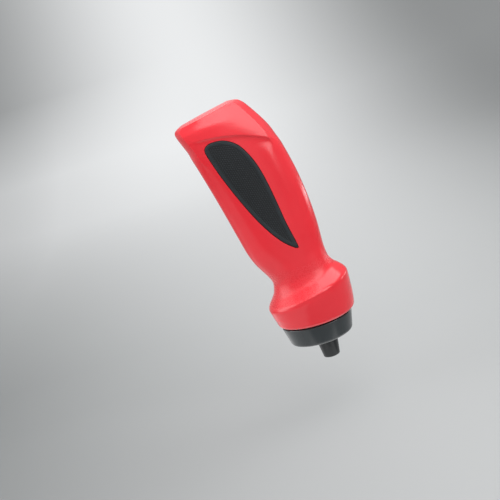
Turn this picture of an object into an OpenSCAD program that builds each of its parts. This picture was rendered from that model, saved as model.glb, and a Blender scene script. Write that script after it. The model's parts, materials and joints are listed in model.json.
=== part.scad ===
// Hand-held watering wand: a soft flask inside a rigid two-part handle, squeezed
// through a rubber pad on each broad side, with a screw cap and a twist nozzle.
// The origin is the middle of the nozzle's outlet mouth. +Z runs up the cap's axis
// to the butt end, +X is the finger side and the parting plane is Y = 0.

/* [Handle] */
// Wall of the two red shells
shell_wall = 2.6; // [2.2:0.1:3.0]
// Hand-side thickness of the whole handle, relative to its designed depth
depth_scale = 1; // [0.96:0.01:1.04]
// Depth of the shallow palm recess below the butt end's raised shield
recess_depth = 1.8; // [0.8:0.1:2.0]

/* [Pads] */
// Thickness of each rubber pad's visible skin
pad_thick = 2.8; // [2.4:0.1:3.0]
// How far a pad stands proud of the shell
pad_proud = 0.5; // [0.2:0.1:0.8]
// Inward travel of a pad
pad_travel = 3.5; // [2.0:0.5:3.5]
// Gap all round a pad in its window
pad_gap = 0.35; // [0.3:0.05:0.5]

/* [Closure] */
// Outer radius of the cap at its wide upper edge
cap_r_top = 31.6; // [31.0:0.1:32.0]
// Outer radius of the cap at its lower edge
cap_r_low = 27.8; // [27.0:0.1:28.4]
// Pitch of the cap thread
thread_pitch = 4; // [3.8:0.1:4.4]
// Sideways step from the cap's axis to the nozzle's axis
nozzle_offset = 3.2; // [2.6:0.1:3.6]

/* [Nozzle] */
// Radius of the outlet bore
outlet_r = 2.5; // [2.0:0.1:3.5]
// Outer radius of the nozzle's tip
tip_r = 7.3; // [6.4:0.1:7.6]
// Outer radius of the nozzle where it meets the cap
nozzle_r = 10; // [9.0:0.1:10.4]

/* [Valve] */
// Radius of the valve ball
ball_r = 5; // [4.6:0.1:5.0]
// Opening travel of the valve ball
ball_travel = 2.5; // [1.5:0.5:2.5]

/* [Hidden] */
round_fn = 96;
eps = 0.01;
gap = 0.3;

// Heights along the cap's axis, above a level that is itself this far above the mouth
rise = 2;
nozzle_top = 17.6;
cap_low = 17.9;
cap_top = 35.7;
rim_z = 37;
neck_low = 25;
thread_z = 26.6;
disc_low = 20.6;
disc_top = 23;
cage_z = 25;
seat_z = 41;
sleeve_top = 44.4;
washer_z = 39.4;
collar_z = 40.2;
collar_top = 42.2;
neck_top = 46;

// Radii about the cap's axis
neck_bore_r = 20.3;
neck_r = 22.8;
thread_crest_r = 24;
cap_bore_r = 24.35;
cap_ridge_r = 23.15;
cap_hole_r = 14.25;
boss_r = 13.95;
disc_r = 22.3;
bead_r = 22.05;
collar_r = 27;
sleeve_r = 19.9;
sleeve_bore_r = 18.2;
stem_r = 7.5;
stem_bore_r = 7.58;

// Colours
red = [0.86, 0.12, 0.16];
pad_black = [0.09, 0.10, 0.11];
cap_grey = [0.22, 0.24, 0.25];
nozzle_grey = [0.14, 0.15, 0.16];
milky = [0.90, 0.90, 0.86];
natural = [0.80, 0.80, 0.76];
steel = [0.72, 0.73, 0.75];
brass = [0.75, 0.62, 0.32];
seal_black = [0.07, 0.07, 0.07];

// Sections of the handle, from the rim to the butt end. Each is a flat rounded
// section between a left and a right edge point. Towards the butt end it changes to
// one with a gently domed face and plain flanks that meet at a crease:
// [left x, left z, right x, right z, half depth, squareness, crease]
HANDLE = [
    [-31.6, 37.0, 32.2, 37.0, 31.9, 2.0, 0],
    [-33.0, 37.5, 34.0, 37.5, 33.5, 2.0, 0],
    [-34.0, 39.2, 35.4, 39.6, 34.7, 2.0, 0],
    [-34.8, 42.4, 36.2, 44.0, 35.4, 2.0, 0],
    [-35.6, 45.0, 36.7, 48.2, 36.0, 2.0, 0],
    [-36.4, 48.6, 37.1, 53.6, 36.6, 2.0, 0],
    [-37.4, 52.6, 37.6, 62.4, 37.4, 2.0, 0],
    [-37.3, 54.6, 37.6, 68.0, 37.5, 2.0, 0],
    [-36.2, 56.8, 36.6, 71.0, 36.9, 2.0, 0],
    [-33.0, 60.8, 33.0, 75.2, 32.3, 2.1, 0],
    [-29.6, 65.6, 28.8, 79.0, 27.4, 2.25, 0],
    [-27.4, 72.4, 26.0, 83.6, 25.2, 2.4, 0],
    [-27.2, 78.0, 24.9, 88.6, 24.6, 2.45, 0],
    [-29.6, 84.0, 24.5, 94.0, 24.4, 2.5, 0],
    [-33.4, 90.8, 24.5, 100.0, 24.3, 2.5, 0],
    [-37.2, 98.0, 24.8, 107.0, 24.4, 2.5, 0],
    [-40.6, 108.0, 25.1, 116.0, 24.6, 2.5, 0],
    [-43.8, 123.0, 24.9, 129.0, 24.9, 2.5, 0],
    [-47.4, 141.0, 23.8, 145.0, 25.0, 2.6, 0],
    [-52.2, 164.0, 21.2, 166.5, 25.0, 2.7, 0],
    [-57.4, 187.0, 16.6, 189.5, 24.8, 2.9, 0],
    [-60.4, 198.6, 13.2, 200.2, 24.5, 3.0, 0.7],
    [-61.8, 205.4, 11.2, 206.2, 24.1, 3.1, 1],
    [-63.8, 211.2, 8.6, 212.0, 23.4, 3.2, 1],
    [-65.6, 216.2, 4.8, 218.8, 22.2, 3.2, 1],
    [-67.2, 221.0, -0.2, 227.0, 20.2, 3.2, 1],
    [-67.6, 224.2, -4.6, 233.2, 17.4, 3.2, 1],
    [-66.4, 226.6, -8.8, 236.6, 15.4, 3.2, 1],
    [-63.4, 228.4, -13.6, 237.6, 14.4, 3.2, 1]];
INSIDE_FROM = 4;
INSIDE_TO = 26;
PAD_FROM = 14;
PAD_TO = 25;
handle_sides = 40;

// Outline of a pad seen along Y, clockwise from its top: [x, z]
PAD = [[-38.6, 211.2], [-29.5, 209.7], [-20.7, 203.9], [-14.6, 194.6], [-9.6, 182.0],
    [-6.3, 167.0], [-3.6, 148.0], [-1.2, 128.0], [2.0, 110.0], [2.2, 104.6],
    [-2.0, 106.4], [-11.0, 115.5], [-22.0, 133.0], [-32.4, 156.0], [-41.2, 180.0],
    [-46.3, 197.0], [-48.0, 205.6], [-45.0, 210.0]];

// Middle of the screws that hold the shells together: [x, z]
SCREWS = [[-29.4, 50.0], [29.2, 50.0], [-35.2, 112.0], [18.6, 112.0], [-51.6, 190.0],
    [12.2, 184.0]];

// Point at fraction t of the way from p[i] to p[i + 1] on a smooth curve
function clamp_index(p, i) = p[max(0, min(len(p) - 1, i))];
function curve(a, b, c, d, t) =
    0.5 * (2 * b + (c - a) * t + (2 * a - 5 * b + 4 * c - d) * t * t
        + (3 * b - a - 3 * c + d) * t * t * t);
function smooth_open(p, steps) = [
    for (i = [0:len(p) - 2]) for (k = [0:steps - 1])
        curve(clamp_index(p, i - 1), p[i], p[i + 1], clamp_index(p, i + 2), k / steps),
    p[len(p) - 1]];
function smooth_closed(p, steps) = let (n = len(p)) [
    for (i = [0:n - 1]) for (k = [0:steps - 1])
        curve(p[(i + n - 1) % n], p[i], p[(i + 1) % n], p[(i + 2) % n], k / steps)];

// 0 below 0, 1 above 1 and smooth between
function ease(t) = let (u = max(0, min(1, t))) u * u * (3 - 2 * u);

// Height of the raised shield's lower crease, and the recess below it
function crease_z(x) = 215.3 - 0.00515 * pow(max(0, x + 48), 2);
recess_step = 1.5;
function recess(x, z) = recess_depth * (1 - exp(-max(0, crease_z(x) - z) / recess_step))
    * ease((z - 88) / 60) * ease((x + 64) / 24) * ease((26 - x) / 16);

// Points of a section at an angle: evenly rounded, or with creases at 45 degrees
crease_in = 0.27;
crease_drop = 0.2;
function signed_pow(v, p) = sign(v) * pow(abs(v), p);
function rounded(turn, half, deep, n) =
    [half * signed_pow(cos(turn), 2 / n), deep * signed_pow(sin(turn), 2 / n)];
function creased(turn, half, deep) =
    let (t = atan2(abs(sin(turn)), abs(cos(turn))) / 45, face = half - crease_in * deep)
    t <= 1
        ? [sign(cos(turn)) * (half - crease_in * deep * pow(t, 1.6)),
            sign(sin(turn)) * deep * (1 - crease_drop) * t]
        : [sign(cos(turn)) * face * (2 - t),
            sign(sin(turn)) * deep * (1 - crease_drop * pow(2 - t, 2))];

// One section as points, moved inward by inset
function section(row, inset, sides) =
    let (left = [row[0], row[1]], right = [row[2], row[3]], middle = (left + right) / 2,
        along = (right - left) / norm(right - left), half = norm(right - left) / 2 - inset,
        deep = row[4] * depth_scale - inset)
    [for (i = [0:sides - 1])
        let (turn = 360 * i / sides,
            uv = (1 - row[6]) * rounded(turn, half, deep, row[5])
                + row[6] * creased(turn, half, deep),
            p = middle + along * uv[0])
        [p[0], uv[1] * (1 - recess(p[0], p[1]) / deep), p[1]]];

// Closed solid through a list of sections that all have the same number of points
module loft(sections) {
    sides = len(sections[0]);
    last = len(sections) - 1;
    polyhedron(
        points = [for (s = sections) each s],
        faces = concat(
            [[for (i = [0:sides - 1]) i]],
            [for (r = [0:last - 1]) for (i = [0:sides - 1])
                each let (j = (i + 1) % sides, a = r * sides, b = a + sides)
                    [[a + i, b + i, b + j], [a + i, b + j, a + j]]],
            [[for (i = [0:sides - 1]) last * sides + sides - 1 - i]]));
}

// The handle's outside, moved inward by inset, rows first to last
module handle_form(inset, first = 0, last = len(HANDLE) - 1, steps = 1) {
    rows = smooth_open([for (i = [first:last]) HANDLE[i]], steps);
    loft([for (r = rows) section(r, inset, handle_sides)]);
}

// Half-space behind (side 1) or in front (side -1) of the parting plane
module half_space(side) {
    translate([-100, side > 0 ? 0 : -60, -10])
        cube([200, 60, 280]);
}

// A prism along Y with the pad's outline, grown by grow
module pad_prism(side, grow) {
    translate([0, side > 0 ? 60 : 0, 0])
        rotate([90, 0, 0])
            linear_extrude(60)
                offset(delta = grow)
                    polygon(smooth_closed(PAD, 3));
}

// Everything on the cap's axis, or on the nozzle's, is placed through one of these
module on_cap_axis() {
    translate([-nozzle_offset, 0, rise])
        children();
}

module on_nozzle_axis() {
    translate([0, 0, rise])
        children();
}

// Tube about Z between two heights
module tube(r_out, r_in, z_low, z_high) {
    translate([0, 0, z_low])
        difference() {
            cylinder(r = r_out, h = z_high - z_low, $fn = round_fn);
            translate([0, 0, -eps])
                cylinder(r = r_in, h = z_high - z_low + 2 * eps, $fn = round_fn);
        }
}

// Cylinder along Y from y_low to y_high
module pin_y(x, z, r, y_low, y_high, sides = 32) {
    translate([x, y_high, z])
        rotate([90, 0, 0])
            cylinder(r = r, h = y_high - y_low, $fn = sides);
}

// Helical ridge of a thread. z_zero is its middle height at angle 0, and the ridge
// itself starts at angle from and goes on for some turns.
module thread_ridge(r_root, r_crest, z_zero, from, turns) {
    per_turn = 36;
    first = round(from / 360 * per_turn);
    last = first + round(per_turn * turns);
    root_half = 0.8;
    crest_half = 0.35;
    profile = [[r_root, -root_half], [r_crest, -crest_half],
        [r_crest, crest_half], [r_root, root_half]];
    corners = r_crest > r_root ? profile : [for (i = [3:-1:0]) profile[i]];
    loft([for (k = [last:-1:first])
        let (turn = 360 * k / per_turn, rise = thread_pitch * k / per_turn)
        [for (c = corners)
            [c[0] * cos(turn), c[0] * sin(turn), z_zero + rise + c[1]]]]);
}

/* Handle shells */

screw_boss_r = 3.4;
screw_shaft_r = 1.5;
screw_head_r = 2.75;
screw_head_y = 9;
screw_head_h = 2;
insert_r = 2.2;
insert_depth = 7;

module shell_half(side) {
    on_cap_axis() {
        difference() {
            intersection() {
                handle_form(0, steps = 2);
                half_space(side);
            }
            difference() {
                handle_form(shell_wall, INSIDE_FROM, INSIDE_TO);
                for (s = SCREWS)
                    pin_y(s[0], s[1], screw_boss_r, side > 0 ? 0 : -40, side > 0 ? 40 : 0);
            }
            translate([0, 0, washer_z])
                cylinder(r = collar_r + 4, h = collar_top + 0.1 - washer_z, $fn = round_fn);
            translate([0, 0, rim_z - 1])
                cylinder(r = thread_crest_r + 0.4, h = 14, $fn = round_fn);
            pad_prism(side, 0);
            shell_holes(side);
        }
    }
}

// Screw holes: clearance and head holes in the finger shell, insert holes in the other
module shell_holes(side) {
    for (s = SCREWS)
        if (side > 0) {
            pin_y(s[0], s[1], screw_shaft_r + 0.2, -eps, screw_head_y + eps);
            pin_y(s[0], s[1], screw_head_r + 0.25, screw_head_y, 40);
        } else {
            pin_y(s[0], s[1], insert_r, -insert_depth - 2, eps);
        }
}

module palm_shell() {
    color(red)
        shell_half(-1);
}

module finger_shell() {
    color(red)
        shell_half(1);
}

// Pan-head screws with a cross recess, put in from the finger side
module shell_screws() {
    color(steel)
        on_cap_axis()
            for (s = SCREWS)
                difference() {
                    union() {
                        pin_y(s[0], s[1], screw_shaft_r, -insert_depth + 1, screw_head_y + eps);
                        pin_y(s[0], s[1], screw_head_r, screw_head_y, screw_head_y + screw_head_h);
                    }
                    for (turn = [0, 90])
                        translate([s[0], screw_head_y + screw_head_h, s[1]])
                            rotate([0, turn, 0])
                                cube([3, 2, 0.8], center = true);
                }
}

// Brass inserts pressed into the palm shell's bosses
module screw_inserts() {
    color(brass)
        on_cap_axis()
            for (s = SCREWS)
                difference() {
                    pin_y(s[0], s[1], insert_r, -insert_depth, -0.4);
                    pin_y(s[0], s[1], screw_shaft_r, -insert_depth - 1, 0);
                }
}

/* Flask */

flask_side_inset = 10.6;
flask_depth_inset = 9.1;
flask_wall = 1.1;
flask_first = 13;
flask_last = 22;
vent_x = -24;
vent_r = 4;
flask_end_z = 205;

// Flask section: the handle's section drawn in from both edges, kept level
function flask_row(row, wall) =
    let (level = (row[1] + row[3]) / 2)
    [row[0] + flask_side_inset + wall, level, row[2] - flask_side_inset - wall, level,
        row[4] * depth_scale - flask_depth_inset - wall, row[5], 0];

// The round neck blends into the flask's flattened body
function flask_rows(wall) =
    let (body = [for (i = [flask_first:flask_last]) flask_row(HANDLE[i], wall)],
        r = neck_r - wall - 0.2)
    concat([[-r, collar_top, r, collar_top, r, 2, 0], [-r, neck_top, r, neck_top, r, 2, 0],
        [-r + 1, 54, r - 1, 54, r - 1.5, 2.05, 0], [-r + 3, 70, r - 5, 70, r - 5, 2.2, 0]],
        body);

module flask_form(wall, z_trim) {
    rows = smooth_open(flask_rows(wall), 2);
    difference() {
        loft([for (r = rows) section(r, 0, handle_sides)]);
        translate([-100, -50, z_trim])
            cube([200, 100, 50]);
    }
}

module flask() {
    color(milky)
        on_cap_axis()
            difference() {
                union() {
                    flask_form(0, flask_end_z);
                    translate([0, 0, neck_low])
                        cylinder(r = neck_r, h = collar_top + 1 - neck_low, $fn = round_fn);
                    translate([0, 0, collar_z])
                        cylinder(r = collar_r, h = collar_top - collar_z, $fn = round_fn);
                    thread_ridge(neck_r - 0.3, thread_crest_r, thread_z, 0, 1.4);
                }
                flask_form(flask_wall, flask_end_z - 1.8);
                translate([0, 0, neck_low - 1])
                    cylinder(r = neck_bore_r, h = collar_top + 3 - neck_low, $fn = round_fn);
                translate([-key_half - 0.3, 0, neck_low - 1])
                    cube([2 * key_half + 0.6, key_reach + 0.4, key_top + 1.3 - neck_low]);
                translate([vent_x, 0, flask_end_z - 5])
                    cylinder(r = vent_r, h = 10, $fn = round_fn);
            }
}

// Rubber washer between the shells' rim flange and the flask's collar
module collar_washer() {
    color(seal_black)
        on_cap_axis()
            tube(collar_r, thread_crest_r + 0.2, washer_z, collar_z);
}

/* Vent valve in the flask's butt end */

vent_hole_r = 0.7;
vent_flap_r = 3.6;

module vent_plug() {
    color(natural)
        on_cap_axis()
            translate([vent_x, 0, flask_end_z])
                difference() {
                    union() {
                        translate([0, 0, -2])
                            cylinder(r = vent_r, h = 2 + eps, $fn = round_fn);
                        cylinder(r = vent_r + 2, h = 1.2, $fn = round_fn);
                    }
                    for (turn = [0:60:300])
                        rotate([0, 0, turn])
                            translate([2.4, 0, -3])
                                cylinder(r = vent_hole_r, h = 6, $fn = 24);
                    translate([0, 0, -3])
                        cylinder(r = 1, h = 6, $fn = 24);
                }
}

// Mushroom flap: its stem goes up through the plug and a bead keeps it there
module vent_flap() {
    color(seal_black)
        on_cap_axis()
            translate([vent_x, 0, flask_end_z])
                rotate_extrude($fn = round_fn)
                    polygon([[0, -3.1], [vent_flap_r, -2.5], [vent_flap_r, -2.1], [0.9, -2.1],
                        [0.9, 2.3], [1.6, 2.9], [0.9, 3.9], [0, 3.9]]);
}

/* Pads */

lip_grow = 2.6;
lip_thick = 1;
plate_thick = 1.2;

// Skin of the handle's form between two insets
module layer(inset_out, inset_in) {
    difference() {
        handle_form(inset_out, PAD_FROM, PAD_TO);
        handle_form(inset_in, PAD_FROM - 1, PAD_TO + 1);
    }
}

// The visible skin fills the window, and a wider lip behind it stops it coming out
module pad(side) {
    color(pad_black)
        on_cap_axis() {
            intersection() {
                pad_prism(side, -pad_gap);
                layer(-pad_proud, pad_thick + lip_thick / 2);
            }
            intersection() {
                pad_prism(side, lip_grow);
                layer(shell_wall + gap, pad_thick + lip_thick);
            }
        }
}

module plate(side) {
    color(natural)
        on_cap_axis()
            intersection() {
                pad_prism(side, -1);
                layer(pad_thick + lip_thick, pad_thick + lip_thick + plate_thick);
            }
}

module palm_pad() {
    pad(-1);
}

module palm_plate() {
    plate(-1);
}

module finger_pad() {
    pad(1);
}

module finger_plate() {
    plate(1);
}

/* Cap */

cap_edge_r = 3;
cap_lip_r = 0.8;
relief_in = 26.4;
relief_out = 28.6;

function arc(cx, cz, r, from, to, steps) = [for (i = [0:steps])
    let (a = from + (to - from) * i / steps) [cx + r * cos(a), cz + r * sin(a)]];

module cap() {
    slope = atan((cap_r_top - cap_r_low) / (cap_top - cap_low));
    low_x = cap_r_low - cap_edge_r + 0.4;
    color(cap_grey)
        on_cap_axis()
            union() {
                rotate_extrude($fn = round_fn)
                    polygon(concat(
                        [[cap_hole_r, cap_low]],
                        arc(low_x, cap_low + cap_edge_r, cap_edge_r, -90, -slope, 8),
                        arc(cap_r_top - cap_lip_r, cap_top - cap_lip_r, cap_lip_r, -slope, 90, 5),
                        [[relief_out, cap_top], [relief_out - 0.5, 28], [relief_in, 28],
                            [relief_in, cap_top], [cap_bore_r + 0.6, cap_top],
                            [cap_bore_r, cap_top - 0.8], [cap_bore_r, disc_top + 1.5],
                            [bead_r, disc_top + 1.1], [bead_r, disc_top + gap],
                            [disc_r + gap, disc_top + 0.1], [disc_r + gap, disc_low - gap],
                            [cap_hole_r, disc_low - gap]]));
                thread_ridge(cap_bore_r + 0.3, cap_ridge_r, thread_z - thread_pitch / 2, 160, 1.1);
            }
}

/* Closure insert */

key_half = 1.5;
key_reach = 21;
key_top = 36;
port_r = 1.9;
port_from_axis = 4.4;
stem_top = 21.4;
clip_low = 19.9;
clip_high = 20.7;
oring_z = 19.05;
oring_r = 0.5;

module spout_base() {
    color(nozzle_grey)
        on_cap_axis()
            difference() {
                union() {
                    translate([0, 0, cap_low])
                        cylinder(r = boss_r, h = disc_low + eps - cap_low, $fn = round_fn);
                    translate([0, 0, disc_low])
                        cylinder(r = disc_r, h = disc_top - disc_low, $fn = round_fn);
                    tube(sleeve_r, sleeve_bore_r, disc_top - eps, sleeve_top);
                    tube(sleeve_bore_r + 0.5, 16.8, disc_top - eps, cage_z);
                    translate([-key_half, sleeve_r - 1, cage_z + 0.4])
                        cube([2 * key_half, key_reach - sleeve_r + 1, key_top - cage_z - 0.4]);
                }
                translate([0, 0, seat_z])
                    cylinder(r = 19, h = 10, $fn = round_fn);
                translate([nozzle_offset, 0, 0]) {
                    translate([0, 0, cap_low - 1])
                        cylinder(r = stem_bore_r, h = stem_top + 0.1 + 1 - cap_low, $fn = round_fn);
                    translate([0, 0, clip_low - 0.2])
                        cylinder(r = stem_bore_r + 0.9, h = clip_high - clip_low + 0.4, $fn = round_fn);
                    for (turn = [90, 270])
                        rotate([0, 0, turn])
                            translate([port_from_axis, 0, 15])
                                cylinder(r = port_r, h = 15, $fn = 32);
                }
            }
}

module cap_seal() {
    color(seal_black)
        on_cap_axis()
            tube(bead_r - 0.2, sleeve_r + 0.5, disc_top, neck_low - 0.05);
}

/* Nozzle, whose own axis is the frame's Z axis */

module nozzle() {
    tip_round = 1;
    outlet_h = 6;
    mouth = -rise;
    slope = atan((nozzle_r - tip_r) / (nozzle_top - mouth));
    color(nozzle_grey)
        on_nozzle_axis()
            difference() {
                rotate_extrude($fn = round_fn)
                    polygon(concat(
                        [[0, mouth]],
                        arc(tip_r - tip_round, mouth + tip_round, tip_round, -90, -slope, 5),
                        [[nozzle_r - 0.1, nozzle_top - 0.6], [nozzle_r - 0.7, nozzle_top],
                            [stem_r, nozzle_top], [stem_r, oring_z - 0.65], [6.45, oring_z - 0.65],
                            [6.45, oring_z + 0.65], [stem_r, oring_z + 0.65],
                            [stem_r, clip_low], [6.9, clip_low], [6.9, clip_high],
                            [stem_r, clip_high], [stem_r, stem_top], [0, stem_top]]));
                rotate_extrude($fn = round_fn)
                    polygon([[0, mouth - 1], [outlet_r, mouth - 1], [outlet_r, mouth + outlet_h],
                        [5.6, stem_top - 3.2], [5.6, stem_top - 1.6], [0, stem_top - 1.6]]);
                for (turn = [0, 180])
                    rotate([0, 0, turn])
                        translate([port_from_axis - 0.7, 0, stem_top - 3])
                            cylinder(r = port_r - 0.7, h = 5, $fn = 32);
            }
}

module nozzle_oring() {
    color(seal_black)
        on_nozzle_axis()
            rotate_extrude($fn = round_fn)
                translate([6.97, oring_z])
                    circle(r = oring_r, $fn = 32);
}

module nozzle_clip() {
    color(steel)
        on_nozzle_axis()
            difference() {
                tube(8.3, 6.95, clip_low + 0.05, clip_high - 0.05);
                translate([-12, -0.8, clip_low - 1])
                    cube([12, 1.6, 3]);
            }
}

/* Valve */

cage_r_in = ball_r + 0.25;
cage_r_out = cage_r_in + 1.3;
plate_h = 1.4;
seat_port_r = 4;
seat_h = 2;
ball_z = seat_z - sqrt(pow(ball_r, 2) - pow(seat_port_r, 2)) - 0.05;

module valve_cage() {
    color(natural)
        on_cap_axis()
            difference() {
                union() {
                    translate([0, 0, cage_z])
                        cylinder(r = sleeve_bore_r - 0.1, h = plate_h, $fn = round_fn);
                    tube(cage_r_out, cage_r_in, cage_z + plate_h - eps, seat_z - 0.1);
                }
                for (turn = [30:60:330])
                    rotate([0, 0, turn])
                        translate([12, 0, cage_z - 1])
                            cylinder(r = 3, h = plate_h + 2, $fn = 32);
                for (turn = [0, 90])
                    rotate([0, 0, turn])
                        translate([-10, -2, cage_z + plate_h + 1])
                            cube([20, 4, 11]);
            }
}

module valve_seat() {
    color(natural)
        on_cap_axis()
            tube(18.95, seat_port_r, seat_z, seat_z + seat_h);
}

module valve_ball() {
    color(steel)
        on_cap_axis()
            translate([0, 0, ball_z])
                sphere(r = ball_r, $fn = round_fn);
}

// Compression spring under the ball
module valve_spring() {
    wire_r = 0.35;
    coil_r = 3.4;
    turns = 4;
    low = cage_z + plate_h + wire_r + 0.02;
    high = ball_z - sqrt(pow(ball_r, 2) - pow(coil_r, 2)) - wire_r - 0.15;
    per_turn = 20;
    count = turns * per_turn;
    color(steel)
        on_cap_axis()
            loft([for (k = [count:-1:0])
                let (turn = 360 * k / per_turn, z = low + (high - low) * k / count)
                [for (i = [0:7])
                    let (a = 45 * i, r = coil_r + wire_r * cos(a))
                    [r * cos(turn), r * sin(turn), z + wire_r * sin(a)]]]);
}

// Strainer that keeps grit out of the valve
module filter_basket() {
    basket_r = 17;
    basket_top = 56;
    flange_z = seat_z + seat_h;
    color(natural)
        on_cap_axis()
            difference() {
                union() {
                    translate([0, 0, flange_z])
                        cylinder(r = 18.9, h = sleeve_top - flange_z, $fn = round_fn);
                    translate([0, 0, flange_z])
                        cylinder(r = basket_r, h = basket_top - flange_z, $fn = round_fn);
                }
                translate([0, 0, flange_z - 1])
                    cylinder(r = basket_r - 1.2, h = basket_top - flange_z - 0.2, $fn = round_fn);
                for (turn = [0:30:150])
                    rotate([0, 0, turn])
                        translate([-20, -1, sleeve_top + 1.2])
                            cube([40, 2, 8]);
            }
}

palm_shell();
finger_shell();
shell_screws();
screw_inserts();
flask();
collar_washer();
vent_plug();
vent_flap();
palm_pad();
palm_plate();
finger_pad();
finger_plate();
cap();
spout_base();
cap_seal();
nozzle();
nozzle_oring();
nozzle_clip();
valve_cage();
valve_seat();
valve_ball();
valve_spring();
filter_basket();
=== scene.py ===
import json
import math

import bmesh
import bpy
import numpy as np
from mathutils import Matrix, Vector
from mathutils.bvhtree import BVHTree
from mathutils.geometry import delaunay_2d_cdt


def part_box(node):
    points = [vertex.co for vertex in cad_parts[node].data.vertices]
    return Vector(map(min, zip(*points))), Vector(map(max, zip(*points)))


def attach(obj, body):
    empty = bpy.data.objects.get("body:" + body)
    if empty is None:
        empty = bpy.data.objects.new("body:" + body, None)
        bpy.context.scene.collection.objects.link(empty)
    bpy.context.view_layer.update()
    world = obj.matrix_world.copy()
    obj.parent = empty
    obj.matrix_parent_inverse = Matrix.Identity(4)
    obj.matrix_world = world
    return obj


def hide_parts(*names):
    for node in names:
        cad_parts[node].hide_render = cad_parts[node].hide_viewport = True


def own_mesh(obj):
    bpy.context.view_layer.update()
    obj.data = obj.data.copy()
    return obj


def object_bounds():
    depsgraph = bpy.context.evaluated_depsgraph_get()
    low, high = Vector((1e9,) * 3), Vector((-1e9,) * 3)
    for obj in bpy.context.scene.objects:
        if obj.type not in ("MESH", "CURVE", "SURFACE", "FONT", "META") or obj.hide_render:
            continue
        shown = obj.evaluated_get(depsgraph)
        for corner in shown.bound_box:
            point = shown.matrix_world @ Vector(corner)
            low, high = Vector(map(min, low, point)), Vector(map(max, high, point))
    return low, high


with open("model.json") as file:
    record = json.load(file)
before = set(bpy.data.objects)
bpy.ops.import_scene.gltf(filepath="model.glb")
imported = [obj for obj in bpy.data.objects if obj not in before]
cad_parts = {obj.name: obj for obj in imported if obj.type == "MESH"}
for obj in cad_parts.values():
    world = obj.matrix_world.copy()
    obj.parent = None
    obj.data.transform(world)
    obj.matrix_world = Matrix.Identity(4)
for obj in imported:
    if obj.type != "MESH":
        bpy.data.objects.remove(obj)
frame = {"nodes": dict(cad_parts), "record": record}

CAD_LOW, CAD_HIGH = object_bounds()
NODES = frame["nodes"]
MM = 0.001
PALM, FINGER = -1, 1

# The handle's form is written about the cap's axis, which stands beside the nozzle's.
# Its heights start below the cap's lower edge.
CAP_LOW, CAP_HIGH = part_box("cap")
CAP_EDGE_Z = 17.9
AXIS_X = (CAP_LOW.x + CAP_HIGH.x) / 2
BASE_Z = CAP_LOW.z - CAP_EDGE_Z * MM


# ---------------------------------------------------------------- handle form
# The form's sections, as in the CAD model, in mm about the cap's axis:
# left x, left z, right x, right z, half depth, squareness, crease.

HANDLE = [
    [-31.6, 37.0, 32.2, 37.0, 31.9, 2.0, 0],
    [-33.0, 37.5, 34.0, 37.5, 33.5, 2.0, 0],
    [-34.0, 39.2, 35.4, 39.6, 34.7, 2.0, 0],
    [-34.8, 42.4, 36.2, 44.0, 35.4, 2.0, 0],
    [-35.6, 45.0, 36.7, 48.2, 36.0, 2.0, 0],
    [-36.4, 48.6, 37.1, 53.6, 36.6, 2.0, 0],
    [-37.4, 52.6, 37.6, 62.4, 37.4, 2.0, 0],
    [-37.3, 54.6, 37.6, 68.0, 37.5, 2.0, 0],
    [-36.2, 56.8, 36.6, 71.0, 36.9, 2.0, 0],
    [-33.0, 60.8, 33.0, 75.2, 32.3, 2.1, 0],
    [-29.6, 65.6, 28.8, 79.0, 27.4, 2.25, 0],
    [-27.4, 72.4, 26.0, 83.6, 25.2, 2.4, 0],
    [-27.2, 78.0, 24.9, 88.6, 24.6, 2.45, 0],
    [-29.6, 84.0, 24.5, 94.0, 24.4, 2.5, 0],
    [-33.4, 90.8, 24.5, 100.0, 24.3, 2.5, 0],
    [-37.2, 98.0, 24.8, 107.0, 24.4, 2.5, 0],
    [-40.6, 108.0, 25.1, 116.0, 24.6, 2.5, 0],
    [-43.8, 123.0, 24.9, 129.0, 24.9, 2.5, 0],
    [-47.4, 141.0, 23.8, 145.0, 25.0, 2.6, 0],
    [-52.2, 164.0, 21.2, 166.5, 25.0, 2.7, 0],
    [-57.4, 187.0, 16.6, 189.5, 24.8, 2.9, 0],
    [-60.4, 198.6, 13.2, 200.2, 24.5, 3.0, 0.7],
    [-61.8, 205.4, 11.2, 206.2, 24.1, 3.1, 1],
    [-63.8, 211.2, 8.6, 212.0, 23.4, 3.2, 1],
    [-65.6, 216.2, 4.8, 218.8, 22.2, 3.2, 1],
    [-67.2, 221.0, -0.2, 227.0, 20.2, 3.2, 1],
    [-67.6, 224.2, -4.6, 233.2, 17.4, 3.2, 1],
    [-66.4, 226.6, -8.8, 236.6, 15.4, 3.2, 1],
    [-63.4, 228.4, -13.6, 237.6, 14.4, 3.2, 1],
]
# The rows that the shells' inner face and the pads are made from.
INSIDE_ROWS = slice(4, 27)
PAD_ROWS = slice(14, 27)
SHELL_WALL = 2.6
# The rim round the flask's neck, with a pocket that holds the neck's collar.
RIM_HOLE_R = 24.4
POCKET_R = 31.0
RIM_LOW, POCKET_LOW, POCKET_TOP, RIM_TOP = 37.0, 39.4, 42.3, 44.8
SEAM_BEVEL = 0.4
# A point this close to the parting plane, in metres, lies on it.
FLAT = 1e-7
# The raised shield's lower crease: its highest place, and how fast it falls to the right.
CREASE_X, CREASE_TOP, CREASE_FALL = -48, 215.3, 0.00515
# The palm recess under the crease: its depth, how soon it drops, and where it fades in
# and over what length, up from the neck and in from each edge.
RECESS_DEPTH = 1.8
RECESS_STEP = 1.5
RECESS_LOW, RECESS_LOW_FADE = 88, 60
RECESS_LEFT, RECESS_LEFT_FADE = -64, 24
RECESS_RIGHT, RECESS_RIGHT_FADE = 26, 16
RING_STEPS = 14
INSIDE_STEPS = 2
# Points along half a section: on its face, and on each flank.
FLANK_POINTS = 30
FACE_POINTS = 60
HALF_POINTS = FACE_POINTS + 2 * FLANK_POINTS
# A section is worked out at this many points, which are then spaced evenly on each part.
TURN_POINTS = 601
FLANK_END, FACE_END = 150, 450
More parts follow.
